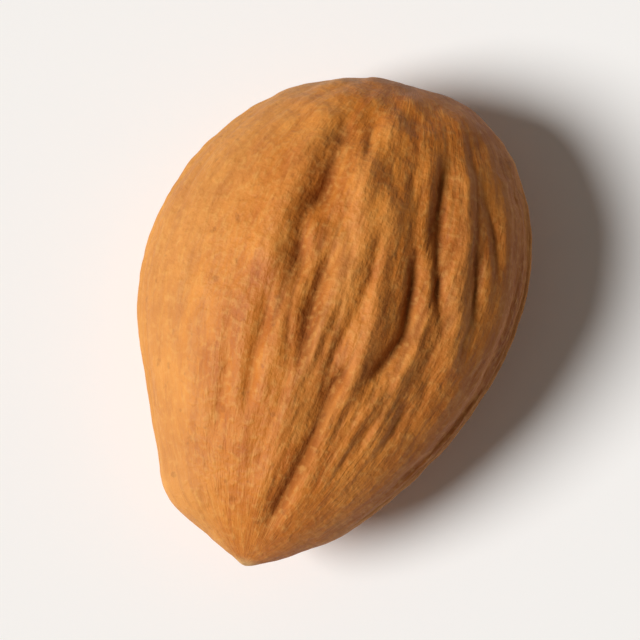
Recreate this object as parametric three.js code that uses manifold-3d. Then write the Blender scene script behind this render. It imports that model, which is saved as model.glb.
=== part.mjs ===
// One shelled almond kernel, skin on, lying on its flatter face: a single closed solid.
// Millimetres. +Y runs from the pointed tip to the broad end, +Z is up, +X is the right margin.
import * as THREE from "three";
import { mergeVertices } from "three/addons/utils/BufferGeometryUtils.js";
import Module from "manifold-3d";

// Body of the kernel
const LENGTH = 22.1;
const LEFT_HALF_WIDTH = 8.36;
const RIGHT_HALF_WIDTH = 7.82;
const TOP_HALF_THICKNESS = 4.7;
const BOTTOM_HALF_THICKNESS = 4.25;

// How each flank opens out from the tip (1 is a straight cone, 0.5 is a round nose) and how it
// closes at the broad end (a smaller power is a blunter end)
const LEFT_FLANK = { tip: 0.7, end: 0.57 };
const RIGHT_FLANK = { tip: 0.72, end: 0.46 };
const FACE = { tip: 0.68, end: 0.52 };
// Pinch of the section towards its two margins (0 is a plain ellipse)
const MARGIN_PINCH = 0.12;

// Low keel along each margin, from near the tip to near the broad end
const KEEL_HEIGHT = 0.16;
const KEEL_WIDTH = 0.7;
const KEEL_FROM = 0.05;
const KEEL_TO = 0.97;
const KEEL_FADE = 0.07;

// Small nib where the root tip of the seed pushes the skin out
const NIB_HEIGHT = 0.16;
const NIB_RADIUS = 0.5;

// Shallow dish at the broad end, where the seed was joined to its shell
const DISH_DEPTH = 0.16;
const DISH_RADIUS = 1.7;

// Flat resting spot worn on the belly
const FLAT_SPOT_CUT = 0.16;
const FLAT_SPOT_HALF_WIDTH = 2.4;
const FLAT_SPOT_HALF_LENGTH = 3.4;
const FLAT_SPOT_SHARE = 0.54;
// Wrinkles start beyond the first of these reaches of the flat spot and are full at the second
const WRINKLES_START = 0.9;
const WRINKLES_FULL = 1.35;

// Broad swells (or hollows, where the height is negative). "share" is the share of the length
// from the tip, and "angle" goes round the section: 0 right margin, 90 top, 270 belly.
const SWELLS = [
  { share: 0.97, angle: 15, height: 0.25, across: 2.4, along: 1.8 },
  { share: 0.09, angle: 180, height: 0.48, across: 1.8, along: 1.7 },
  { share: 0.29, angle: 180, height: -0.26, across: 2.2, along: 2.8 },
  { share: 0.62, angle: 112, height: 0.24, across: 1.7, along: 5.0 },
  { share: 0.62, angle: 66, height: -0.24, across: 2.2, along: 4.5 },
  { share: 0.5, angle: 32, height: 0.14, across: 1.8, along: 4.5 },
  { share: 0.72, angle: 86, height: 0.14, across: 1.0, along: 2.6 },
  { share: 0.3, angle: 236, height: 0.16, across: 2.0, along: 3.5 },
  { share: 0.74, angle: 304, height: -0.16, across: 2.0, along: 3.2 },
];

// Furrows and ridges run from tip to broad end, between two shares of the length. A height below
// zero is a furrow's, and the angles are evenly spaced from start to end.
const WRINKLE_FADE = 0.08;
const WRINKLES = [
  { from: 0.05, to: 0.44, height: -0.42, width: 0.44, angles: [82, 80, 79, 80, 79, 76] },
  { from: 0.34, to: 0.64, height: -0.36, width: 0.42, angles: [93, 93, 94, 95, 96] },
  { from: 0.52, to: 0.78, height: -0.32, width: 0.44, angles: [101, 103, 105, 104, 102] },
  { from: 0.64, to: 0.91, height: -0.32, width: 0.46, angles: [101, 102, 104, 106, 111] },
  { from: 0.76, to: 0.93, height: -0.18, width: 0.42, angles: [93, 95, 97, 99] },
  { from: 0.36, to: 0.71, height: -0.38, width: 0.44, angles: [68, 66, 63, 65, 68, 69] },
  { from: 0.48, to: 0.71, height: -0.18, width: 0.42, angles: [80, 81, 82] },
  { from: 0.53, to: 0.89, height: -0.36, width: 0.44, angles: [53, 57, 61, 63, 64, 62] },
  { from: 0.24, to: 0.45, height: -0.22, width: 0.42, angles: [58, 60, 60, 61] },
  { from: 0.26, to: 0.42, height: -0.18, width: 0.42, angles: [48, 49, 51] },
  { from: 0.28, to: 0.49, height: -0.16, width: 0.42, angles: [41, 44, 47, 50] },
  { from: 0.52, to: 0.74, height: -0.17, width: 0.42, angles: [39, 41, 45, 49] },
  { from: 0.65, to: 0.88, height: -0.18, width: 0.42, angles: [34, 38, 43, 45] },
  { from: 0.31, to: 0.55, height: -0.2, width: 0.42, angles: [88, 88, 88, 87] },
  { from: 0.24, to: 0.52, height: -0.18, width: 0.44, angles: [108, 108, 107, 108] },
  { from: 0.18, to: 0.42, height: -0.16, width: 0.48, angles: [122, 119, 118, 118] },
  { from: 0.5, to: 0.96, height: 0.18, width: 0.72, angles: [111, 113, 114, 116, 122] },
  { from: 0.26, to: 0.55, height: 0.12, width: 0.5, angles: [103, 103, 102, 102] },
  { from: 0.32, to: 0.86, height: 0.28, width: 0.62, angles: [89, 89, 88, 88, 91, 96] },
  { from: 0.3, to: 0.79, height: 0.21, width: 0.6, angles: [74, 74, 76, 78, 81, 83] },
  { from: 0.29, to: 0.71, height: 0.18, width: 0.5, angles: [62, 61, 58, 58, 61, 63] },
  { from: 0.42, to: 0.88, height: 0.18, width: 0.52, angles: [40, 46, 50, 53, 55, 53] },
  { from: 0.8, to: 0.94, height: 0.2, width: 0.62, angles: [88, 89, 92] },
  { from: 0.08, to: 0.93, height: -0.22, width: 0.5, angles: [218, 214, 217, 222] },
  { from: 0.2, to: 0.7, height: -0.2, width: 0.48, angles: [236, 234, 239] },
  { from: 0.05, to: 0.4, height: -0.24, width: 0.5, angles: [258, 255, 250] },
  { from: 0.62, to: 0.95, height: -0.26, width: 0.5, angles: [250, 246, 242] },
  { from: 0.07, to: 0.38, height: -0.24, width: 0.48, angles: [284, 286, 292] },
  { from: 0.64, to: 0.94, height: -0.28, width: 0.5, angles: [277, 282, 286] },
  { from: 0.14, to: 0.86, height: -0.23, width: 0.5, angles: [309, 312, 309, 306] },
  { from: 0.3, to: 0.92, height: -0.2, width: 0.48, angles: [331, 332, 329, 326] },
];

const ROUND_SEGMENTS = 112;
const LENGTH_SEGMENTS = 44;
const STEP = 1e-4;
const WELD_DISTANCE = 1e-5;
const DEGREES = Math.PI / 180;
const CUTTER_SIDE = 40;
const CUTTER_HEIGHT = 4;

// Share of the greatest half size, 0 at both ends and 1 where the flank is fullest.
function fullness(share, { tip, end }) {
  const widest = tip / (tip + end);
  return (share / widest) ** tip * ((1 - share) / (1 - widest)) ** end;
}

// Point of the smooth body at a share of the length and an angle round the section.
function bodyPoint(share, angle) {
  const across = Math.cos(angle);
  const up = Math.sin(angle);
  const left = LEFT_HALF_WIDTH * fullness(share, LEFT_FLANK);
  const right = RIGHT_HALF_WIDTH * fullness(share, RIGHT_FLANK);
  const top = TOP_HALF_THICKNESS * fullness(share, FACE);
  const bottom = BOTTOM_HALF_THICKNESS * fullness(share, FACE);
  const halfWidth = THREE.MathUtils.lerp(left, right, (1 + across) / 2);
  const halfThickness = THREE.MathUtils.lerp(bottom, top, (1 + up) / 2);
  return new THREE.Vector3(
    halfWidth * across,
    LENGTH * (share - 0.5),
    halfThickness * up * Math.abs(up) ** MARGIN_PINCH,
  );
}

// Outward direction of the smooth body; the two poles face straight along the length.
function bodyNormal(share, angle) {
  if (share < STEP) return new THREE.Vector3(0, -1, 0);
  if (share > 1 - STEP) return new THREE.Vector3(0, 1, 0);
  const reach = STEP * Math.min(share, 1 - share);
  const along = bodyPoint(share + reach, angle).sub(bodyPoint(share - reach, angle));
  const around = bodyPoint(share, angle + STEP).sub(bodyPoint(share, angle - STEP));
  return along.cross(around).normalize();
}

// Rises over the first fade of a span and falls over the last one.
function span(share, from, to, fade) {
  const rise = THREE.MathUtils.smoothstep(share, from, from + fade);
  const fall = 1 - THREE.MathUtils.smoothstep(share, to - fade, to);
  return rise * fall;
}

// Smooth hump, 1 at the middle.
function hump(distance, width) {
  return Math.exp(-((distance / width) ** 2));
}

// Angle of a wrinkle's line at a share of the length, along a smooth curve through its angles.
function wrinkleAngle(wrinkle, share) {
  const stops = wrinkle.angles.map((degrees, index) => new THREE.Vector2(index, degrees));
  const along = (share - wrinkle.from) / (wrinkle.to - wrinkle.from);
  return new THREE.SplineCurve(stops).getPoint(THREE.MathUtils.clamp(along, 0, 1)).y * DEGREES;
}

function wrinkleRelief(point, share) {
  let relief = 0;
  for (const wrinkle of WRINKLES) {
    if (share <= wrinkle.from || share >= wrinkle.to) continue;
    const line = bodyPoint(share, wrinkleAngle(wrinkle, share));
    const height = wrinkle.height * span(share, wrinkle.from, wrinkle.to, WRINKLE_FADE);
    relief += height * hump(point.distanceTo(line), wrinkle.width);
  }
  return relief;
}

function swellRelief(point) {
  let relief = 0;
  for (const swell of SWELLS) {
    const offset = bodyPoint(swell.share, swell.angle * DEGREES).sub(point);
    const across = hump(Math.hypot(offset.x, offset.z), swell.across);
    relief += swell.height * across * hump(offset.y, swell.along);
  }
  return relief;
}

// Wrinkles fade out round the flat spot so that it stays clean.
function clearOfFlatSpot(point) {
  if (point.z > 0) return 1;
  const spotY = LENGTH * (FLAT_SPOT_SHARE - 0.5);
  const across = point.x / FLAT_SPOT_HALF_WIDTH;
  const along = (point.y - spotY) / FLAT_SPOT_HALF_LENGTH;
  return THREE.MathUtils.smoothstep(Math.hypot(across, along), WRINKLES_START, WRINKLES_FULL);
}

function keelRelief(point, share) {
  const strength = KEEL_HEIGHT * span(share, KEEL_FROM, KEEL_TO, KEEL_FADE);
  const left = hump(point.distanceTo(bodyPoint(share, Math.PI)), KEEL_WIDTH);
  const right = hump(point.distanceTo(bodyPoint(share, 0)), KEEL_WIDTH);
  return strength * Math.max(left, right);
}

// Surface point of the finished kernel, before it is set down on its flat spot.
function kernelPoint(share, angle) {
  const point = bodyPoint(share, angle);
  const nib = NIB_HEIGHT * hump(point.distanceTo(bodyPoint(0, 0)), NIB_RADIUS);
  const dish = DISH_DEPTH * hump(point.distanceTo(bodyPoint(1, 0)), DISH_RADIUS);
  const wrinkles = wrinkleRelief(point, share) * clearOfFlatSpot(point);
  const relief = wrinkles + swellRelief(point) + keelRelief(point, share) + nib - dish;
  return point.addScaledVector(bodyNormal(share, angle), relief);
}

function kernelGeometry() {
  const geometry = new THREE.SphereGeometry(1, ROUND_SEGMENTS, LENGTH_SEGMENTS);
  const position = geometry.getAttribute("position");
  for (let i = 0; i < position.count; i += 1) {
    const share = THREE.MathUtils.clamp((1 + position.getY(i)) / 2, 0, 1);
    const angle = Math.atan2(position.getZ(i), position.getX(i));
    const point = kernelPoint(share, angle);
    position.setXYZ(i, point.x, point.y, point.z);
  }
  geometry.computeBoundingBox();
  const middle = geometry.boundingBox.getCenter(new THREE.Vector3());
  geometry.translate(-middle.x, -middle.y, -geometry.boundingBox.min.z - FLAT_SPOT_CUT);
  return geometry;
}

function toSolid(wasm, geometry) {
  const bare = geometry.clone();
  bare.deleteAttribute("normal");
  bare.deleteAttribute("uv");
  const welded = mergeVertices(bare, WELD_DISTANCE);
  const mesh = new wasm.Mesh({
    numProp: 3,
    vertProperties: Float32Array.from(welded.getAttribute("position").array),
    triVerts: Uint32Array.from(welded.getIndex().array),
  });
  return new wasm.Manifold(mesh);
}

function toGeometry(solid) {
  const mesh = solid.getMesh();
  const geometry = new THREE.BufferGeometry();
  geometry.setAttribute("position", new THREE.BufferAttribute(mesh.vertProperties, 3));
  geometry.setIndex(new THREE.BufferAttribute(mesh.triVerts, 1));
  geometry.computeVertexNormals();
  return geometry;
}

const wasm = await Module();
wasm.setup();

const body = toSolid(wasm, kernelGeometry());
const ground = new THREE.BoxGeometry(CUTTER_SIDE, CUTTER_SIDE, CUTTER_HEIGHT);
ground.translate(0, 0, -CUTTER_HEIGHT / 2);
const rested = body.subtract(toSolid(wasm, ground));

const skin = new THREE.MeshStandardMaterial({ color: 0xb8743a, roughness: 0.7, metalness: 0 });
const kernel = new THREE.Mesh(toGeometry(rested), skin);
kernel.name = "almond_kernel";

const part = new THREE.Group();
part.name = "almond";
part.add(kernel);

export default part;
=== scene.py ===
"""One shelled almond kernel with its skin on, lying on its flatter face on a pale studio floor.

The kernel is a single closed surface, worked out with numpy from two parameters: the share of
the length from the pointed tip to the broad end, and the angle round the section. Its body,
furrows, keels, nib and dish are formulas in millimetres, and it is fitted to the box of the CAD
solid that it stands for. +Y runs from the tip to the broad end, +X is the right margin.
"""

from __future__ import annotations

import itertools
import logging
import math
from dataclasses import dataclass
from enum import Enum
from typing import Any

import bpy
import numpy as np
from mathutils import Matrix, Vector


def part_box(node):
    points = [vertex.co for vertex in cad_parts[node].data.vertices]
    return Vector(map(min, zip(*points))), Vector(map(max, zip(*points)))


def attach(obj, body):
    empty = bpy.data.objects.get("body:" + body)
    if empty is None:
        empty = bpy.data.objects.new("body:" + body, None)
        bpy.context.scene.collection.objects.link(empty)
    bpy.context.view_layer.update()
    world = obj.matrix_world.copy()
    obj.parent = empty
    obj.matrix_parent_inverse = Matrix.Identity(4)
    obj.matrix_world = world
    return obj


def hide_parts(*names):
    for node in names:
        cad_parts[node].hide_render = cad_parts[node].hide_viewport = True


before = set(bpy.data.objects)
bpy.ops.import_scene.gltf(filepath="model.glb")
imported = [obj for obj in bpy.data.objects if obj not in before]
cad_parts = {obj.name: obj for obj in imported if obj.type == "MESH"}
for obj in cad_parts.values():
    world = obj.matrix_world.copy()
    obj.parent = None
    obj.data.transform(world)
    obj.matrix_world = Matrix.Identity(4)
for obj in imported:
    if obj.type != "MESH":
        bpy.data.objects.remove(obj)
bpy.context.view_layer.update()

MM = 0.001
DEGREE = math.pi / 180
KERNEL_NODE = "almond_kernel"

log = logging.getLogger("almond")


def linear(hex_colour: str) -> tuple[float, float, float, float]:
    """Turns an sRGB hex colour into linear RGBA.

    Args:
        hex_colour: six hex digits after a hash sign, such as "#C98C4F".

    Returns:
        Linear red, green and blue, and an alpha of 1.
    """
    coded = [int(hex_colour[place : place + 2], 16) / 255 for place in (1, 3, 5)]
    plain = [c / 12.92 if c <= 0.04045 else ((c + 0.055) / 1.055) ** 2.4 for c in coded]
    return (*plain, 1.0)


def add_node(
    tree: bpy.types.NodeTree,
    kind: str,
    settings: dict[str, Any] | None = None,
    **inputs: Any,
) -> bpy.types.Node:
    """Adds one shader node with its settings, its input values and its links.

    Args:
        tree: the node tree that takes the node.
        kind: Blender's name for the node type.
        settings: properties of the node itself, such as its data type or blend mode.
        inputs: socket values or the output sockets that feed them; a name's underscores stand
            for spaces, and a leading "at" stands for a socket's number, as in at0.

    Returns:
        The new node.
    """
    node = tree.nodes.new(kind)
    for name, value in (settings or {}).items():
        setattr(node, name, value)
    for name, value in inputs.items():
        numbered = name.startswith("at") and name[2:].isdigit()
        socket = node.inputs[int(name[2:]) if numbered else name.replace("_", " ")]
        if isinstance(value, bpy.types.NodeSocket):
            tree.links.new(value, socket)
        else:
            socket.default_value = value
    return node


def smooth_rise(values: np.ndarray, low: float, high: float) -> np.ndarray:
    """Rises from 0 at low to 1 at high along 3x^2 - 2x^3.

    Args:
        values: where to work it out.
        low: the value at which the rise starts.
        high: the value at which it ends.

    Returns:
        The risen share, from 0 to 1.
    """
    share = np.clip((values - low) / (high - low), 0.0, 1.0)
    return share * share * (3 - 2 * share)


def hump(distance: np.ndarray, width: float, power: float = 2.0) -> np.ndarray:
    """A smooth hump, exp(-(distance / width) ^ power).

    Args:
        distance: distance from its middle, in mm.
        width: the distance at which it has fallen to 1 / e.
        power: 2 for a round top, less for a sharper one.

    Returns:
        1 at the middle, falling towards 0.
    """
    return np.exp(-(np.abs(distance / width) ** power))


def span(share: np.ndarray, start: float, end: float, fade: float) -> np.ndarray:
    """1 along a span of the length, rising and falling over the fade at its two ends.

    Args:
        share: share of the length from the tip.
        start: the share at which the span starts.
        end: the share at which it ends.
        fade: share of the length over which it dies out.

    Returns:
        The strength at each share, from 0 to 1.
    """
    rise = smooth_rise(share, start, start + fade)
    return rise * (1 - smooth_rise(share, end - fade, end))


class Side(Enum):
    """The two margins of the kernel, as angles round the section."""

    RIGHT = 0.0
    LEFT = math.pi


@dataclass
class CloudNoise:
    """A smooth random field in space, made from random slopes at whole-number places."""

    seed: int
    size: int = 256

    def __post_init__(self) -> None:
        """Draws the slopes once, so that the field is the same on every run."""
        draw = np.random.default_rng(self.seed)
        slopes = draw.normal(size=(self.size, 3))
        self.slopes = slopes / np.linalg.norm(slopes, axis=1, keepdims=True)
        self.order = draw.permutation(self.size)

    def at(self, places: np.ndarray) -> np.ndarray:
        """Blends the eight slopes round each place with 6x^5 - 15x^4 + 10x^3.

        Args:
            places: an array whose last axis holds x, y and z, one cell to the unit.

        Returns:
            The field, from about -0.7 to 0.7, in the shape of places without its last axis.
        """
        cell = np.floor(places).astype(int)
        inside = places - cell
        fade = inside**3 * (inside * (inside * 6 - 15) + 10)
        total = np.zeros(places.shape[:-1])
        for corner in itertools.product((0, 1), repeat=3):
            index = np.zeros(places.shape[:-1], dtype=int)
            for axis in range(3):
                index = self.order[(index + cell[..., axis] + corner[axis]) % self.size]
            weight = np.prod(np.where(np.array(corner) == 1, fade, 1 - fade), axis=-1)
            total += weight * np.sum(self.slopes[index] * (inside - np.array(corner)), axis=-1)
        return total


@dataclass(frozen=True)
class Flank:
    """One side of the body: its greatest half size in mm, how it opens out from the tip (1 is
    a straight cone, 0.5 a round nose) and how it closes at the broad end."""

    half_size: float
    tip_power: float
    end_power: float

    def reach(self, share: np.ndarray) -> np.ndarray:
        """Half size at each share t of the length: the greatest one times
        (t / p)^tip_power ((1 - t) / (1 - p))^end_power, where p, the fullest place, is
        tip_power / (tip_power + end_power).

        Args:
            share: share of the length from the tip.

        Returns:
            The half size in mm, 0 at both ends.
        """
        fullest = self.tip_power / (self.tip_power + self.end_power)
        opening = (share / fullest) ** self.tip_power
        return self.half_size * opening * ((1 - share) / (1 - fullest)) ** self.end_power


@dataclass(frozen=True)
class KernelBody:
    """The smooth teardrop under the wrinkles, in millimetres."""

    length: float = 22.1
    left: Flank = Flank(8.36, 0.7, 0.57)
    right: Flank = Flank(7.82, 0.72, 0.46)
    top: Flank = Flank(4.7, 0.68, 0.52)
    bottom: Flank = Flank(4.25, 0.68, 0.52)
    margin_pinch: float = 0.12

    def point(self, share: np.ndarray, angle: np.ndarray) -> np.ndarray:
        """Section x = w cos(a), z = h sin(a) |sin(a)|^pinch, where w slides from the left
        reach to the right one and h from the bottom reach to the top one.

        Args:
            share: share of the length from the tip.
            angle: angle round the section, 0 at the right margin and a quarter turn on top.

        Returns:
            Points with x, y and z on the last axis, in mm.
        """
        across, up = np.cos(angle), np.sin(angle)
        left, right = self.left.reach(share), self.right.reach(share)
        bottom, top = self.bottom.reach(share), self.top.reach(share)
        half_width = left + (right - left) * (1 + across) / 2
        half_thickness = bottom + (top - bottom) * (1 + up) / 2
        parts = np.broadcast_arrays(
            half_width * across,
            self.length * (share - 0.5),
            half_thickness * up * np.abs(up) ** self.margin_pinch,
        )
        return np.stack(parts, axis=-1)

    def outward(self, share: np.ndarray, angle: np.ndarray) -> np.ndarray:
        """Unit cross product of the small steps along and round the body; the two ends face
        straight along the length.

        Args:
            share: share of the length from the tip.
            angle: angle round the section.

        Returns:
            Unit directions with x, y and z on the last axis.
        """
        step = 1e-4
        inner = np.clip(share, step, 1 - step)
        reach = step * np.minimum(inner, 1 - inner)
        along = self.point(inner + reach, angle) - self.point(inner - reach, angle)
        around = self.point(inner, angle + step) - self.point(inner, angle - step)
        facing = np.cross(along, around)
        facing /= np.linalg.norm(facing, axis=-1, keepdims=True)
        facing = np.where((share < step)[..., None], np.array([0.0, -1.0, 0.0]), facing)
        return np.where((share > 1 - step)[..., None], np.array([0.0, 1.0, 0.0]), facing)


@dataclass(frozen=True)
class Wrinkle:
    """One lengthwise wrinkle of the skin, a ridge where its height is positive and a furrow where
    it is negative. Spans are shares of the length, sizes are in mm, and the angles of its line
    are in degrees, evenly spaced from its start to its end."""

    start: float
    end: float
    height: float
    width: float
    angles: tuple[float, ...]

    def line_angle(self, share: np.ndarray) -> np.ndarray:
        """Angle of its line in radians, on a Catmull-Rom curve through the angles with the
        first and last ones doubled.

        Args:
            share: share of the length from the tip.

        Returns:
            The angle at each share.
        """
        stops = np.array([self.angles[0], *self.angles, self.angles[-1]]) * DEGREE
        spans = len(self.angles) - 1
        along = np.clip((share - self.start) / (self.end - self.start), 0, 1) * spans
        first = np.minimum(along.astype(int), spans - 1)
        t = along - first
        before, here, after, beyond = (stops[first + step] for step in range(4))
        slope = (after - before) / 2
        next_slope = (beyond - here) / 2
        return (
            here * (2 * t**3 - 3 * t**2 + 1)
            + slope * (t**3 - 2 * t**2 + t)
            + after * (3 * t**2 - 2 * t**3)
            + next_slope * (t**3 - t**2)
        )


@dataclass(frozen=True)
class Swell:
    """A broad swell of the body, or a hollow where its height is negative: its place as a share
    of the length and an angle in degrees, and its height and half widths in mm."""

    share: float
    angle: float
    height: float
    across: float
    along: float

    def relief(self, body: KernelBody, base: np.ndarray) -> np.ndarray:
        """Height times a hump of the distance across times a hump of the distance along.

        Args:
            body: the smooth body that it stands on.
            base: points of that body.

        Returns:
            The relief in mm.
        """
        middle = body.point(np.array(self.share), np.array(self.angle * DEGREE))
        offset = base - middle
        across = np.hypot(offset[..., 0], offset[..., 2])
        return self.height * hump(across, self.across) * hump(offset[..., 1], self.along)


SWELLS: tuple[Swell, ...] = (
    Swell(0.97, 15, 0.25, 2.4, 1.8),
    Swell(0.09, 180, 0.48, 1.8, 1.7),
    Swell(0.29, 180, -0.26, 2.2, 2.8),
    Swell(0.62, 112, 0.24, 1.7, 5.0),
    Swell(0.62, 66, -0.24, 2.2, 4.5),
    Swell(0.50, 32, 0.14, 1.8, 4.5),
    Swell(0.72, 86, 0.14, 1.0, 2.6),
    Swell(0.30, 236, 0.16, 2.0, 3.5),
    Swell(0.74, 304, -0.16, 2.0, 3.2),
)

TOP_WRINKLES: tuple[Wrinkle, ...] = (
    Wrinkle(0.05, 0.44, -0.39, 0.33, (82, 80, 79, 80, 79, 76)),
    Wrinkle(0.34, 0.64, -0.34, 0.31, (93, 93, 94, 95, 96)),
    Wrinkle(0.52, 0.78, -0.31, 0.38, (101, 103, 105, 104, 102)),
    Wrinkle(0.64, 0.91, -0.32, 0.46, (101, 102, 104, 106, 111)),
    Wrinkle(0.76, 0.93, -0.18, 0.30, (93, 95, 97, 99)),
    Wrinkle(0.36, 0.71, -0.35, 0.34, (68, 66, 63, 65, 68, 69)),
    Wrinkle(0.48, 0.71, -0.18, 0.24, (80, 81, 82)),
    Wrinkle(0.53, 0.89, -0.33, 0.33, (53, 57, 61, 63, 64, 62)),
    Wrinkle(0.46, 0.60, -0.15, 0.24, (56, 56, 58)),
    Wrinkle(0.24, 0.45, -0.20, 0.26, (58, 60, 60, 61)),
    Wrinkle(0.18, 0.31, -0.13, 0.24, (61, 61, 62)),
    Wrinkle(0.26, 0.42, -0.16, 0.25, (48, 49, 51)),
    Wrinkle(0.28, 0.49, -0.14, 0.25, (41, 44, 47, 50)),
    Wrinkle(0.52, 0.74, -0.17, 0.28, (39, 41, 45, 49)),
    Wrinkle(0.65, 0.88, -0.18, 0.30, (34, 38, 43, 45)),
    Wrinkle(0.31, 0.55, -0.22, 0.22, (88, 88, 88, 87)),
    Wrinkle(0.35, 0.53, -0.16, 0.20, (83, 83, 83, 82)),
    Wrinkle(0.55, 0.68, -0.18, 0.22, (88, 89, 90)),
    Wrinkle(0.72, 0.82, -0.12, 0.26, (80, 81, 83)),
    Wrinkle(0.55, 0.66, -0.14, 0.20, (73, 75, 76)),
    Wrinkle(0.72, 0.86, -0.14, 0.24, (74, 75, 74)),
    Wrinkle(0.24, 0.52, -0.18, 0.30, (108, 108, 107, 108)),
    Wrinkle(0.18, 0.42, -0.14, 0.36, (122, 119, 118, 118)),
    Wrinkle(0.50, 0.96, 0.18, 0.72, (111, 113, 114, 116, 122)),
    Wrinkle(0.26, 0.55, 0.12, 0.42, (103, 103, 102, 102)),
    Wrinkle(0.32, 0.86, 0.28, 0.62, (89, 89, 88, 88, 91, 96)),
    Wrinkle(0.30, 0.79, 0.21, 0.60, (74, 74, 76, 78, 81, 83)),
    Wrinkle(0.29, 0.71, 0.18, 0.44, (62, 61, 58, 58, 61, 63)),
    Wrinkle(0.42, 0.88, 0.18, 0.52, (40, 46, 50, 53, 55, 53)),
    Wrinkle(0.80, 0.94, 0.20, 0.62, (88, 89, 92)),
    Wrinkle(0.08, 0.36, 0.14, 0.48, (75, 76, 77, 77)),
    Wrinkle(0.08, 0.36, 0.14, 0.48, (96, 92, 91, 90)),
    Wrinkle(0.24, 0.48, 0.12, 0.36, (56, 58, 59, 60)),
    Wrinkle(0.48, 0.90, 0.10, 0.60, (26, 29, 33, 36)),
    Wrinkle(0.30, 0.82, -0.08, 0.34, (138, 136, 135, 138)),
    Wrinkle(0.20, 0.66, -0.08, 0.30, (152, 150, 149)),
    Wrinkle(0.42, 0.88, -0.07, 0.30, (158, 157, 159)),
    Wrinkle(0.14, 0.60, -0.09, 0.30, (166, 165, 164)),
    Wrinkle(0.18, 0.70, -0.12, 0.30, (20, 18, 19)),
    Wrinkle(0.10, 0.90, -0.14, 0.24, (8, 7, 8)),
    Wrinkle(0.10, 0.92, -0.14, 0.24, (173, 174, 173)),
)

BELLY_WRINKLES: tuple[Wrinkle, ...] = (
    Wrinkle(0.08, 0.93, -0.20, 0.34, (218, 214, 217, 222)),
    Wrinkle(0.20, 0.70, -0.18, 0.28, (236, 234, 239)),
    Wrinkle(0.05, 0.40, -0.22, 0.32, (258, 255, 250)),
    Wrinkle(0.62, 0.95, -0.24, 0.32, (250, 246, 242)),
    Wrinkle(0.07, 0.38, -0.22, 0.30, (284, 286, 292)),
    Wrinkle(0.64, 0.94, -0.26, 0.34, (277, 282, 286)),
    Wrinkle(0.14, 0.86, -0.21, 0.34, (309, 312, 309, 306)),
    Wrinkle(0.34, 0.60, -0.14, 0.24, (320, 321, 318)),
    Wrinkle(0.30, 0.92, -0.18, 0.30, (331, 332, 329, 326)),
    Wrinkle(0.30, 0.62, -0.14, 0.24, (226, 224, 227)),
    Wrinkle(0.12, 0.90, 0.06, 0.60, (227, 224, 227, 232)),
    Wrinkle(0.10, 0.46, 0.10, 0.60, (247, 245, 244)),
    Wrinkle(0.10, 0.42, 0.10, 0.65, (271, 270, 271)),
    Wrinkle(0.60, 0.92, 0.10, 0.65, (264, 264, 263)),
    Wrinkle(0.16, 0.88, 0.07, 0.60, (298, 300, 299, 296)),
    Wrinkle(0.24, 0.90, 0.07, 0.55, (320, 322, 319, 316)),
    Wrinkle(0.10, 0.92, -0.14, 0.24, (187, 186, 187)),
    Wrinkle(0.12, 0.90, -0.14, 0.24, (352, 353, 352)),
    Wrinkle(0.20, 0.86, -0.09, 0.28, (202, 200, 201)),
)


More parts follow.
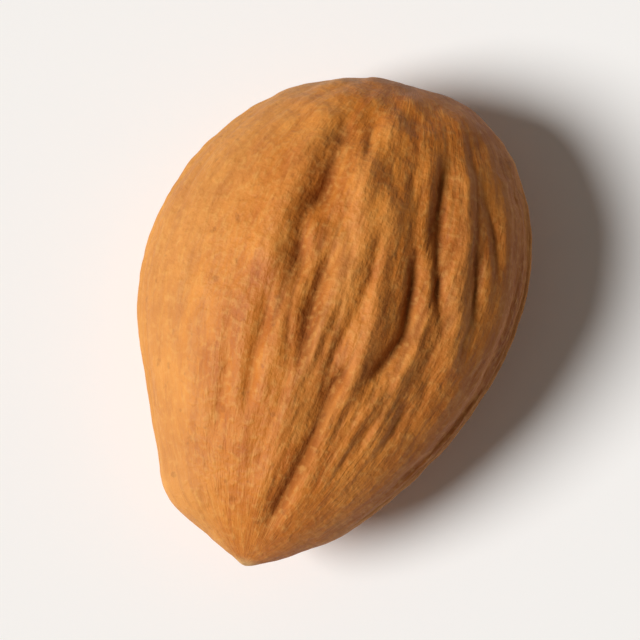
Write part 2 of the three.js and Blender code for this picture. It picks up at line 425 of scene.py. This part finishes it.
@dataclass(frozen=True)
class FineSkin:
    """The small relief between the wrinkles. Cells of noise are counted round the section per
    radian and along the whole length, rises and falls are between shares of the length (those of
    the patches between values of the noise), sizes are in mm, and angles are in degrees."""

    seed: int = 41
    billow_cells: tuple[float, float] = (6.5, 2.0)
    billow_height: float = 0.16
    fold_cells: tuple[float, float] = (8.0, 3.0)
    fold_depth: float = 0.09
    fold_sharpness: float = 6.0
    crease_cells: tuple[float, float] = (19.0, 6.0)
    crease_depth: float = 0.055
    crease_sharpness: float = 5.0
    sway_cells: tuple[float, float] = (2.0, 3.5)
    sway: float = 0.1
    patch_cells: tuple[float, float] = (1.6, 3.0)
    patch_rise: tuple[float, float] = (-0.3, 0.15)
    least_rough: float = 0.45
    tip_rise: tuple[float, float] = (0.04, 0.38)
    end_fall: tuple[float, float] = (0.8, 0.98)
    dimple_size: float = 1.1
    dimple_depth: float = 0.09
    least_dimpled: float = 0.4
    knobbly_end: float = 1.5
    knobbly_rise: tuple[float, float] = (0.76, 0.9)
    scurf_size: float = 0.36
    scurf_height: float = 0.022
    smooth_angle: float = 148.0
    smooth_width: float = 33.0
    smooth_power: float = 4.0
    smooth_share: float = 0.65

    def meridian(
        self, walked: np.ndarray, angle: np.ndarray, cells: tuple[float, float]
    ) -> np.ndarray:
        """Places for noise whose cells narrow towards both ends, as the skin's wrinkles do:
        (k cos(a), k sin(a), m d).

        Args:
            walked: d, distance walked from the tip over the skin, in lengths of the body.
            angle: a, angle round the section.
            cells: k, cells per radian round the section, and m, cells to a length of the body.

        Returns:
            Places with three numbers on the last axis.
        """
        around, along = cells
        parts = (around * np.cos(angle), around * np.sin(angle), along * walked)
        return np.stack(np.broadcast_arrays(*parts), axis=-1)

    def roughness(
        self, share: np.ndarray, walked: np.ndarray, angle: np.ndarray
    ) -> np.ndarray:
        """How wrinkled the skin is: patches of noise, less on the smooth flank of the top face,
        where a hump of the angle takes its share away, and none at the two ends.

        Args:
            share: share of the length from the tip.
            walked: distance walked from the tip over the skin, in lengths of the body.
            angle: angle round the section.

        Returns:
            0 where the skin is smooth and 1 where it is fully wrinkled.
        """
        patches = CloudNoise(self.seed + 1).at(self.meridian(walked, angle, self.patch_cells))
        smooth = hump(angle / DEGREE - self.smooth_angle, self.smooth_width, self.smooth_power)
        ends = smooth_rise(share, *self.tip_rise) * (1 - smooth_rise(share, *self.end_fall))
        patchy = smooth_rise(patches, *self.patch_rise)
        patchy = self.least_rough + (1 - self.least_rough) * patchy
        return patchy * (1 - self.smooth_share * smooth) * ends

    def relief(
        self, share: np.ndarray, walked: np.ndarray, angle: np.ndarray, base: np.ndarray
    ) -> tuple[np.ndarray, np.ndarray, np.ndarray]:
        """Folds and creases are valleys exp(-s |n|) along the lines where a noise n is zero;
        billows, dimples and scurf are plain noise.

        Args:
            share: share of the length from the tip.
            walked: distance walked from the tip over the skin, in lengths of the body.
            angle: angle round the section.
            base: points of the smooth body.

        Returns:
            The relief in mm, and how deep in a fold and in a crease each point is, 0 to 1.
        """
        rough = self.roughness(share, walked, angle)
        drift = CloudNoise(self.seed).at(self.meridian(walked, angle, self.sway_cells))
        cells = (self.fold_cells, self.crease_cells, self.billow_cells)
        fold_noise, crease_noise, billows = (
            CloudNoise(self.seed + 2 + number).at(
                self.meridian(walked, angle + self.sway * drift, size)
            )
            for number, size in enumerate(cells)
        )
        folds = rough * np.exp(-self.fold_sharpness * np.abs(fold_noise))
        creases = rough * np.exp(-self.crease_sharpness * np.abs(crease_noise))
        dimples = CloudNoise(self.seed + 5).at(base / self.dimple_size)
        scurf = CloudNoise(self.seed + 6).at(base / self.scurf_size)
        dimpled = self.least_dimpled + (1 - self.least_dimpled) * rough
        dimpled += self.knobbly_end * smooth_rise(share, *self.knobbly_rise)
        relief = self.dimple_depth * dimples * dimpled + self.scurf_height * scurf
        relief += self.billow_height * billows * rough
        relief -= self.fold_depth * folds + self.crease_depth * creases
        return relief, folds, creases


@dataclass(frozen=True)
class AlmondKernel:
    """The whole kernel: its body, relief and mesh. Sizes are in mm and angles in degrees. The
    fades of wrinkles and keels and the keels' two ends are shares of the length, and the fade
    round the flat spot is in reaches of that spot."""

    body: KernelBody = KernelBody()
    skin: FineSkin = FineSkin()
    columns: int = 384
    rows: int = 256
    wrinkle_fade: float = 0.08
    furrow_power: float = 1.6
    ridge_power: float = 2.0
    full_shade_depth: float = 0.38
    full_ridge_height: float = 0.26
    sway_length: float = 2.4
    sway_angle: float = 2.2
    sway_row_gap: float = 3.7
    height_change: float = 0.55
    fold_shade: float = 0.6
    keel_height: float = 0.16
    keel_width: float = 0.6
    keel_from: float = 0.05
    keel_to: float = 0.97
    keel_fade: float = 0.07
    nib_height: float = 0.08
    nib_radius: float = 0.45
    pale_tip_radius: float = 0.62
    dish_depth: float = 0.16
    dish_radius: float = 1.7
    dark_dish_radius: float = 2.4
    flat_spot_share: float = 0.54
    flat_spot_half: tuple[float, float] = (2.4, 3.4)
    flat_spot_fade: tuple[float, float] = (0.9, 1.35)
    map_edge: float = 0.01

    def grid(self) -> tuple[np.ndarray, np.ndarray]:
        """Shares of the length as (1 - cos(b)) / 2 for even steps of b, which close in on both
        ends, and even steps of angle, with the first angle again at the end of each row.

        Returns:
            A column of shares and a row of angles.
        """
        share = (1 - np.cos(np.linspace(0, math.pi, self.rows + 1))) / 2
        angle = np.linspace(0, 2 * math.pi, self.columns + 1)
        return share[:, None], angle[None, :]

    def wrinkle_relief(
        self, share: np.ndarray, base: np.ndarray
    ) -> tuple[np.ndarray, np.ndarray, np.ndarray]:
        """Each wrinkle adds its height times a hump of the distance to its line. Noise along its
        length sways the line and varies the height.

        Args:
            share: share of the length from the tip, as a column.
            base: points of the smooth body.

        Returns:
            The relief in mm, and how deep in a furrow and how high on a ridge each point is,
            from 0 to 1: the masks of the painted shade in furrows and the painted highlight on
                ridges.
        """
        relief = np.zeros(base.shape[:-1])
        shade = np.zeros(base.shape[:-1])
        ridge = np.zeros(base.shape[:-1])
        sway = CloudNoise(self.skin.seed + 7)
        along = share * self.body.length / self.sway_length
        for number, wrinkle in enumerate((*TOP_WRINKLES, *BELLY_WRINKLES)):
            row = self.sway_row_gap * number
            places = np.stack([along, np.full_like(along, row), np.zeros_like(along)], axis=-1)
            bend = self.sway_angle * DEGREE * sway.at(places)
            change = 1 + self.height_change * sway.at(places[..., ::-1])
            line = self.body.point(share, wrinkle.line_angle(share) + bend)
            distance = np.linalg.norm(base - line, axis=-1)
            power = self.ridge_power if wrinkle.height > 0 else self.furrow_power
            profile = hump(distance, wrinkle.width, power)
            strength = span(share, wrinkle.start, wrinkle.end, self.wrinkle_fade)
            height = strength * wrinkle.height * change
            relief += height * profile
            # shade and ridge become the masks of the painted shade in furrows and the painted
            # highlight on ridge tops
            shade = np.maximum(shade, np.minimum(-height / self.full_shade_depth, 1) * profile)
            ridge = np.maximum(ridge, np.minimum(height / self.full_ridge_height, 1) * profile)
        return relief, shade, ridge * (1 - shade)

    def keel_relief(self, share: np.ndarray, base: np.ndarray) -> np.ndarray:
        """Shape of the low ridge along each margin: a hump of the distance to it.

        Args:
            share: share of the length from the tip, as a column.
            base: points of the smooth body.

        Returns:
            The share of the keel height that each point has, from 0 to 1.
        """
        strength = span(share, self.keel_from, self.keel_to, self.keel_fade)
        ridge = np.zeros(base.shape[:-1])
        for side in Side:
            margin = self.body.point(share, np.array(side.value))
            distance = np.linalg.norm(base - margin, axis=-1)
            ridge = np.maximum(ridge, hump(distance, self.keel_width))
        return strength * ridge

    def clear_of_flat_spot(self, base: np.ndarray) -> np.ndarray:
        """0 inside the resting spot of the belly and 1 well outside it.

        Args:
            base: points of the smooth body.

        Returns:
            The share of the relief that stays.
        """
        half_width, half_length = self.flat_spot_half
        spot_y = self.body.length * (self.flat_spot_share - 0.5)
        reach = np.hypot(base[..., 0] / half_width, (base[..., 1] - spot_y) / half_length)
        return np.where(base[..., 2] > 0, 1.0, smooth_rise(reach, *self.flat_spot_fade))

    def surface(self) -> tuple[np.ndarray, np.ndarray, dict[str, np.ndarray]]:
        """Moves each point of the smooth body along its outward direction by the sum of the
        wrinkles, fine skin, swells, keels, nib and dish.

        Returns:
            The smooth body's points, the finished points, and the values that the skin reads.
        """
        share, angle = self.grid()
        base = self.body.point(share, angle)
        wrinkles, shade, ridge = self.wrinkle_relief(share, base)
        steps = np.linalg.norm(np.diff(base, axis=0, prepend=base[:1]), axis=-1)
        walked = np.cumsum(steps, axis=0) / self.body.length
        fine, folds, creases = self.skin.relief(share, walked, angle, base)
        clear = self.clear_of_flat_spot(base)
        keel = self.keel_relief(share, base)
        to_tip = np.linalg.norm(base - base[0, 0], axis=-1)
        to_end = np.linalg.norm(base - base[-1, 0], axis=-1)
        relief = (wrinkles + fine) * clear + self.keel_height * keel
        relief += sum(swell.relief(self.body, base) for swell in SWELLS)
        relief += self.nib_height * hump(to_tip, self.nib_radius)
        relief -= self.dish_depth * hump(to_end, self.dish_radius)
        finished = base + self.body.outward(share, angle) * relief[..., None]
        around = np.broadcast_to(angle, walked.shape)
        values = {
            # mask of the painted shade in furrows and folds
            "furrow": np.clip(np.maximum(shade, self.fold_shade * folds) * clear, 0, 1),
            "crease": creases * clear,
            # mask of the painted highlight on ridge tops
            "ridge": ridge * clear,
            "tip": hump(to_tip, self.pale_tip_radius),
            "dish": hump(to_end, self.dark_dish_radius),
            # mask of the keels, also used for their painted rim highlight
            "keel": keel,
            "walked": walked,
            # cos of the angle round the section; also the mask of the painted highlight on the
            # left margin and the painted shade on the right one
            "across": np.cos(around),
            "up": np.sin(around),
        }
        return base, finished, values

    def settled(self, points: np.ndarray) -> np.ndarray:
        """Moves and stretches the points to fill the CAD box, and flattens what would reach
        under the floor, which gives the resting spot.

        Args:
            points: finished points in mm.

        Returns:
            The points in metres, in the frame of the CAD solid.
        """
        low, high = (np.array(corner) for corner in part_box(KERNEL_NODE))
        own_low = points.reshape(-1, 3).min(0) * MM
        own_high = points.reshape(-1, 3).max(0) * MM
        scale = (high - low) / (own_high - own_low)
        scale[2] = 1.0
        placed = (points * MM - own_low) * scale + low
        placed[..., 2] += high[2] - placed[..., 2].max()
        placed[..., 2] = np.maximum(placed[..., 2], low[2])
        return placed

    def corners(self) -> tuple[np.ndarray, np.ndarray]:
        """Corners of the triangles at the two ends and of the quads between them, in an order
        that makes them face outwards.

        Returns:
            Row and column of every corner, those of the triangles first, as flat arrays.
        """
        column = np.arange(self.columns)
        fan = np.stack([column, column, column + 1], axis=1).ravel()
        tip_rows = np.tile([0, 1, 1], self.columns)
        end_rows = np.tile([self.rows - 1, self.rows, self.rows - 1], self.columns)
        row, column = np.meshgrid(np.arange(1, self.rows - 1), column, indexing="ij")
        quad_rows = np.stack([row, row + 1, row + 1, row], axis=-1).ravel()
        quad_columns = np.stack([column, column, column + 1, column + 1], axis=-1).ravel()
        rows = np.concatenate([tip_rows, end_rows, quad_rows])
        return rows, np.concatenate([fan, fan, quad_columns])

    def vertex_numbers(self, rows: np.ndarray, columns: np.ndarray) -> np.ndarray:
        """One vertex for each end, and one for each place of a row, which closes on itself.

        Args:
            rows: row numbers.
            columns: column numbers.

        Returns:
            The vertex number of each place.
        """
        ring = 1 + (rows - 1) * self.columns + columns % self.columns
        last = 1 + (self.rows - 1) * self.columns
        return np.where(rows == 0, 0, np.where(rows == self.rows, last, ring))

    def per_vertex(self, values: np.ndarray) -> np.ndarray:
        """Thins values on the grid to one for each vertex.

        Args:
            values: an array whose first two axes are the grid's rows and columns.

        Returns:
            The values in the order of the vertices, as 32-bit numbers.
        """
        rings = values[1:-1, :-1].reshape(-1, *values.shape[2:])
        return np.concatenate([values[:1, 0], rings, values[-1:, 0]]).astype(np.float32)

    def flat_map(self, base: np.ndarray, rows: np.ndarray, columns: np.ndarray) -> np.ndarray:
        """Unrolls the top and the belly side by side: across is the distance walked round the
        section from the middle of the face, and up is the distance walked along that middle.

        Args:
            base: points of the smooth body.
            rows: row number of every corner.
            columns: column number of every corner.

        Returns:
            Two map coordinates for every corner, from 0 to 1.
        """
        face_width = 0.5
        half = self.columns // 2
        triangle_corners = 6 * self.columns
        steps = np.linalg.norm(np.diff(base, axis=1), axis=-1)
        walked = np.concatenate([np.zeros((self.rows + 1, 1)), np.cumsum(steps, axis=1)], axis=1)
        first_columns = np.concatenate(
            [
                np.repeat(columns[:triangle_corners:3], 3),
                np.repeat(columns[triangle_corners::4], 4),
            ]
        )
        on_belly = (first_columns >= half).astype(int)
        across = walked[rows, columns] - walked[rows, half // 2 + on_belly * half]
        spine = np.linalg.norm(np.diff(base[:, half // 2], axis=0), axis=-1)
        up = np.concatenate([[0.0], np.cumsum(spine)]) / spine.sum()
        widest = 2 * np.abs(across).max()
        middle = face_width * (0.5 + on_belly)
        map_x = middle + across / widest * (face_width - 2 * self.map_edge)
        map_y = self.map_edge + (1 - 2 * self.map_edge) * up[rows]
        return np.stack([map_x, map_y], axis=1)

    def build(self) -> bpy.types.Object:
        """Builds the kernel's mesh with its map and the values that its skin reads.

        Returns:
            The kernel, in place.
        """
        base, finished, values = self.surface()
        rows, columns = self.corners()
        points = self.per_vertex(self.settled(finished))
        corners = self.vertex_numbers(rows, columns)
        sides = np.repeat([3, 4], [2 * self.columns, (self.rows - 2) * self.columns])
        starts = np.cumsum(sides) - sides
        mesh = bpy.data.meshes.new("almond_skin_surface")
        mesh.vertices.add(len(points))
        mesh.vertices.foreach_set("co", points.ravel())
        mesh.loops.add(len(corners))
        mesh.loops.foreach_set("vertex_index", corners.astype(np.int32))
        mesh.polygons.add(len(sides))
        mesh.polygons.foreach_set("loop_start", starts.astype(np.int32))
        mesh.update(calc_edges=True)
        mesh.shade_smooth()
        bake_map = self.flat_map(base, rows, columns).astype(np.float32)
        mesh.uv_layers.new(name="OFBake").uv.foreach_set("vector", bake_map.ravel())
        for name, value in values.items():
            attribute = mesh.attributes.new(name, "FLOAT", "POINT")
            attribute.data.foreach_set("value", self.per_vertex(value))
        mesh.validate()
        kernel = bpy.data.objects.new("almond", mesh)
        bpy.context.scene.collection.objects.link(kernel)
        return kernel


@dataclass(frozen=True)
class Cloud:
    """A cloudy pattern in the skin. Its size is in mm, or in radians round the section where it
    runs lengthwise."""

    name: str
    size: float
    detail: float
    lengthwise: bool = False


@dataclass(frozen=True)
class Tint:
    """One colour laid over those below it: none where the pattern is at low, and the full
    strength where it is at high."""

    pattern: str
    low: float
    high: float
    strength: float
    colour: str


@dataclass(frozen=True)
class SeedSkin:
    """Dry almond seed skin (testa), as grown: a thin papery coat that shrank into wrinkles and is
    covered with dull corky scurf. It looks matt, velvety and golden, with a dusty bloom and a
    cream point at the tip. Painted highlight makes the ridge tops, the margin keels and the left
    margin paler, and painted shade makes the furrows and the right margin russet to dark brown."""

    crest: str = "#D48432"
    clouds: tuple[Cloud, ...] = (
        Cloud("patches", 4.2, 3.0),
        Cloud("mottle", 1.3, 3.0),
        Cloud("scurf", 0.3, 4.0),
        Cloud("specks", 0.55, 2.0),
        Cloud("streaks", 0.08, 3.0, lengthwise=True),
        Cloud("fibres", 0.03, 2.0, lengthwise=True),
        Cloud("grain", 0.016, 3.0, lengthwise=True),
    )
    tints: tuple[Tint, ...] = (
        Tint("patches", 0.38, 0.62, 1.0, "#C37223"),
        Tint("mottle", 0.45, 0.68, 0.35, "#AE5B1A"),
        Tint("streaks", 0.46, 0.66, 0.4, "#A25114"),
        Tint("fibres", 0.50, 0.72, 0.22, "#E2A858"),
        # painted highlight: the left margin, which faces the key light, is made paler
        Tint("across", -0.4, -0.95, 0.36, "#D19B57"),
        # painted shade: the right margin, away from the key light, is made darker and redder
        Tint("across", 0.3, 1.0, 0.4, "#854011"),
        # painted rim highlight: the keels along both margins are made paler
        Tint("keel", 0.0, 1.0, 0.35, "#DE9E52"),
        # painted highlight: the tops of the raised wrinkles are made paler and more golden
        Tint("ridge", 0.15, 1.0, 0.42, "#E39548"),
        Tint("dish", 0.1, 1.0, 0.6, "#8A4E22"),
        # painted shade: the furrows and folds are darkened to dark brown
        Tint("furrow", 0.15, 1.0, 0.62, "#74380D"),
        Tint("crease", 0.35, 1.0, 0.4, "#7A3F12"),
        Tint("scurf", 0.47, 0.74, 0.36, "#DDA154"),
        Tint("specks", 0.64, 0.74, 0.25, "#6B3810"),
        Tint("tip", 0.2, 1.0, 0.62, "#DDB478"),
    )
    attributes: tuple[str, ...] = ("furrow", "crease", "ridge", "tip", "dish", "keel")
    stretch: float = 0.8
    ior: float = 1.45
    specular: float = 0.34
    crest_roughness: float = 0.55
    furrow_roughness: float = 0.9
    scurf_relief: float = 0.07
    grain_relief: float = 0.035
    bloom: float = 0.06
    bloom_roughness: float = 0.45
    bloom_tint: str = "#F0CFA0"

    def material(self) -> bpy.types.Material:
        """Builds the skin's material: its patterns, its tints one over another, and its relief.

        Returns:
            The material.
        """
        skin = bpy.data.materials.new("almond_seed_skin")
        skin.use_nodes = True
        tree = skin.node_tree
        tree.nodes.clear()
        patterns = self.patterns(tree)
        colour = linear(self.crest)
        for tint in self.tints:
            share = add_node(
                tree,
                "ShaderNodeMapRange",
                {"interpolation_type": "SMOOTHSTEP"},
                Value=patterns[tint.pattern],
                From_Min=tint.low,
                From_Max=tint.high,
                To_Max=tint.strength,
            )
            mixed = add_node(
                tree,
                "ShaderNodeMix",
                {"data_type": "RGBA"},
                at0=share.outputs["Result"],
                at6=colour,
                at7=linear(tint.colour),
            )
            colour = mixed.outputs[2]
        roughness = add_node(
            tree,
            "ShaderNodeMapRange",
            Value=patterns["furrow"],
            To_Min=self.crest_roughness,
            To_Max=self.furrow_roughness,
        )
        scurfy = add_node(
            tree, "ShaderNodeBump", Height=patterns["scurf"], Distance=self.scurf_relief * MM
        )
        grained = add_node(
            tree,
            "ShaderNodeBump",
            Height=patterns["grain"],
            Distance=self.grain_relief * MM,
            Normal=scurfy.outputs["Normal"],
        )
        shader = add_node(
            tree,
            "ShaderNodeBsdfPrincipled",
            Base_Color=colour,
            Roughness=roughness.outputs["Result"],
            IOR=self.ior,
            Specular_IOR_Level=self.specular,
            Normal=grained.outputs["Normal"],
            Sheen_Weight=self.bloom,
            Sheen_Roughness=self.bloom_roughness,
            Sheen_Tint=linear(self.bloom_tint),
        )
        add_node(tree, "ShaderNodeOutputMaterial", Surface=shader.outputs["BSDF"])
        return skin

    def patterns(self, tree: bpy.types.NodeTree) -> dict[str, bpy.types.NodeSocket]:
        """Adds every pattern of the skin: the kernel's own values, and clouds in its own space
        or in one that follows the wrinkles from tip to broad end.

        Args:
            tree: the material's nodes.

        Returns:
            The output of each pattern by its name.
        """
        place = add_node(tree, "ShaderNodeTexCoord")
        in_mm = add_node(
            tree,
            "ShaderNodeMapping",
            Vector=place.outputs["Object"],
            Scale=(1 / MM, 1 / MM, 1 / MM),
        )
        read = {
            name: add_node(tree, "ShaderNodeAttribute", {"attribute_name": name}).outputs["Fac"]
            for name in (*self.attributes, "across", "up", "walked")
        }
        meridian = add_node(
            tree, "ShaderNodeCombineXYZ", X=read["across"], Y=read["up"], Z=read["walked"]
        )
        stretched = add_node(
            tree,
            "ShaderNodeMapping",
            Vector=meridian.outputs["Vector"],
            Scale=(1.0, 1.0, self.stretch),
        )
        for cloud in self.clouds:
            space = stretched if cloud.lengthwise else in_mm
            noise = add_node(
                tree,
                "ShaderNodeTexNoise",
                Vector=space.outputs["Vector"],
                Scale=1 / cloud.size,
                Detail=cloud.detail,
            )
            read[cloud.name] = noise.outputs["Fac"]
        return read


@dataclass(frozen=True)
class StudioPaper:
    """White background paper, uncoated and smooth: pale and dull, with no gloss."""

    colour: str = "#FBFAF8"
    roughness: float = 1.0
    specular: float = 0.0

    def material(self) -> bpy.types.Material:
        """Builds the paper's material.

        Returns:
            The material.
        """
        paper = bpy.data.materials.new("white_paper")
        paper.use_nodes = True
        tree = paper.node_tree
        tree.nodes.clear()
        shader = add_node(
            tree,
            "ShaderNodeBsdfPrincipled",
            Base_Color=linear(self.colour),
            Roughness=self.roughness,
            Specular_IOR_Level=self.specular,
        )
        add_node(tree, "ShaderNodeOutputMaterial", Surface=shader.outputs[0])
        return paper


@dataclass
class Studio:
    """The floor, the lights and the camera. Lengths are in metres, the lens and its sensor in mm,
    the clip planes in camera distances, and angles in degrees. The kernel's length takes up the
    fill's share of the picture."""

    floor_half: float = 3.0
    key_strength: float = 3.75
    key_spread: float = 27.0
    key_elevation: float = 42.0
    key_from: float = 208.0
    room_light: float = 0.13
    room_tint: str = "#FFF1E4"
    backdrop: str = "#F3F0ED"
    camera_elevation: float = 84.0
    camera_turn: float = 18.5
    lens: float = 180.0
    sensor: float = 36.0
    fill: float = 0.8
    clip_near: float = 0.01
    clip_far: float = 1000.0

    def floor(self) -> bpy.types.Object:
        """Lays the paper floor, a square under the object.

        Returns:
            The floor.
        """
        low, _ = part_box(KERNEL_NODE)
        half, height = self.floor_half, low.z
        turns = ((-1, -1), (1, -1), (1, 1), (-1, 1))
        corners = [(half * x, half * y, height) for x, y in turns]
        mesh = bpy.data.meshes.new("paper_sheet")
        mesh.from_pydata(corners, [], [(0, 1, 2, 3)])
        mesh.materials.append(StudioPaper().material())
        floor = bpy.data.objects.new("studio_floor", mesh)
        bpy.context.scene.collection.objects.link(floor)
        return floor

    def lights(self) -> None:
        """Sets one wide soft light on the left and fills the room with a little even light. The
        room looks as pale as the floor, so that they meet without an edge."""
        key = bpy.data.lights.new("key_light", "SUN")
        key.energy = self.key_strength
        key.angle = self.key_spread * DEGREE
        turn, rise = self.key_from * DEGREE, self.key_elevation * DEGREE
        towards = Vector(
            (math.cos(turn) * math.cos(rise), math.sin(turn) * math.cos(rise), math.sin(rise))
        )
        lamp = bpy.data.objects.new("key_light", key)
        lamp.location = towards
        lamp.rotation_euler = towards.to_track_quat("Z", "Y").to_euler()
        bpy.context.scene.collection.objects.link(lamp)
        world = bpy.data.worlds.new("white_room")
        world.use_nodes = True
        tree = world.node_tree
        tree.nodes.clear()
        room = [self.room_light * part for part in linear(self.room_tint)[:3]]
        path = add_node(tree, "ShaderNodeLightPath")
        seen = add_node(
            tree,
            "ShaderNodeMix",
            {"data_type": "RGBA"},
            at0=path.outputs["Is Camera Ray"],
            at6=(*room, 1.0),
            at7=linear(self.backdrop),
        )
        light = add_node(tree, "ShaderNodeBackground", Color=seen.outputs[2])
        add_node(tree, "ShaderNodeOutputWorld", Surface=light.outputs["Background"])
        bpy.context.scene.world = world

    def camera(self) -> bpy.types.Object:
        """Looks down on the kernel's face, turned so that its tip points down and to the left.

        Returns:
            The camera.
        """
        low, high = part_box(KERNEL_NODE)
        middle = (low + high) / 2
        turn, rise = self.camera_turn * DEGREE, self.camera_elevation * DEGREE
        ahead = Vector((-math.sin(turn), math.cos(turn), 0.0))
        right = Vector((math.cos(turn), math.sin(turn), 0.0))
        back = Vector((0, 0, 1)) * math.sin(rise) - ahead * math.cos(rise)
        up = back.cross(right)
        view_height = (high.y - low.y) / self.fill
        distance = view_height / 2 / (self.sensor / 2 / self.lens)
        data = bpy.data.cameras.new("camera")
        data.lens = self.lens
        data.sensor_width = self.sensor
        data.clip_start = distance * self.clip_near
        data.clip_end = distance * self.clip_far
        camera = bpy.data.objects.new("camera", data)
        camera.matrix_world = Matrix(
            (
                (right.x, up.x, back.x, middle.x + back.x * distance),
                (right.y, up.y, back.y, middle.y + back.y * distance),
                (right.z, up.z, back.z, middle.z + back.z * distance),
                (0, 0, 0, 1),
            )
        )
        bpy.context.scene.collection.objects.link(camera)
        bpy.context.scene.camera = camera
        return camera


def main() -> None:
    """Builds the studio and the kernel, and ties the kernel to its CAD node."""
    logging.basicConfig(level=logging.INFO, format="%(message)s")
    bpy.context.scene.view_settings.view_transform = "Standard"
    studio = Studio()
    studio.camera()
    studio.lights()
    studio.floor()
    kernel = AlmondKernel().build()
    kernel.data.materials.append(SeedSkin().material())
    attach(kernel, "root")
    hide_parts(KERNEL_NODE)
    log.info("%s: %d faces", kernel.name, len(kernel.data.polygons))


if __name__ == "__main__":
    main()
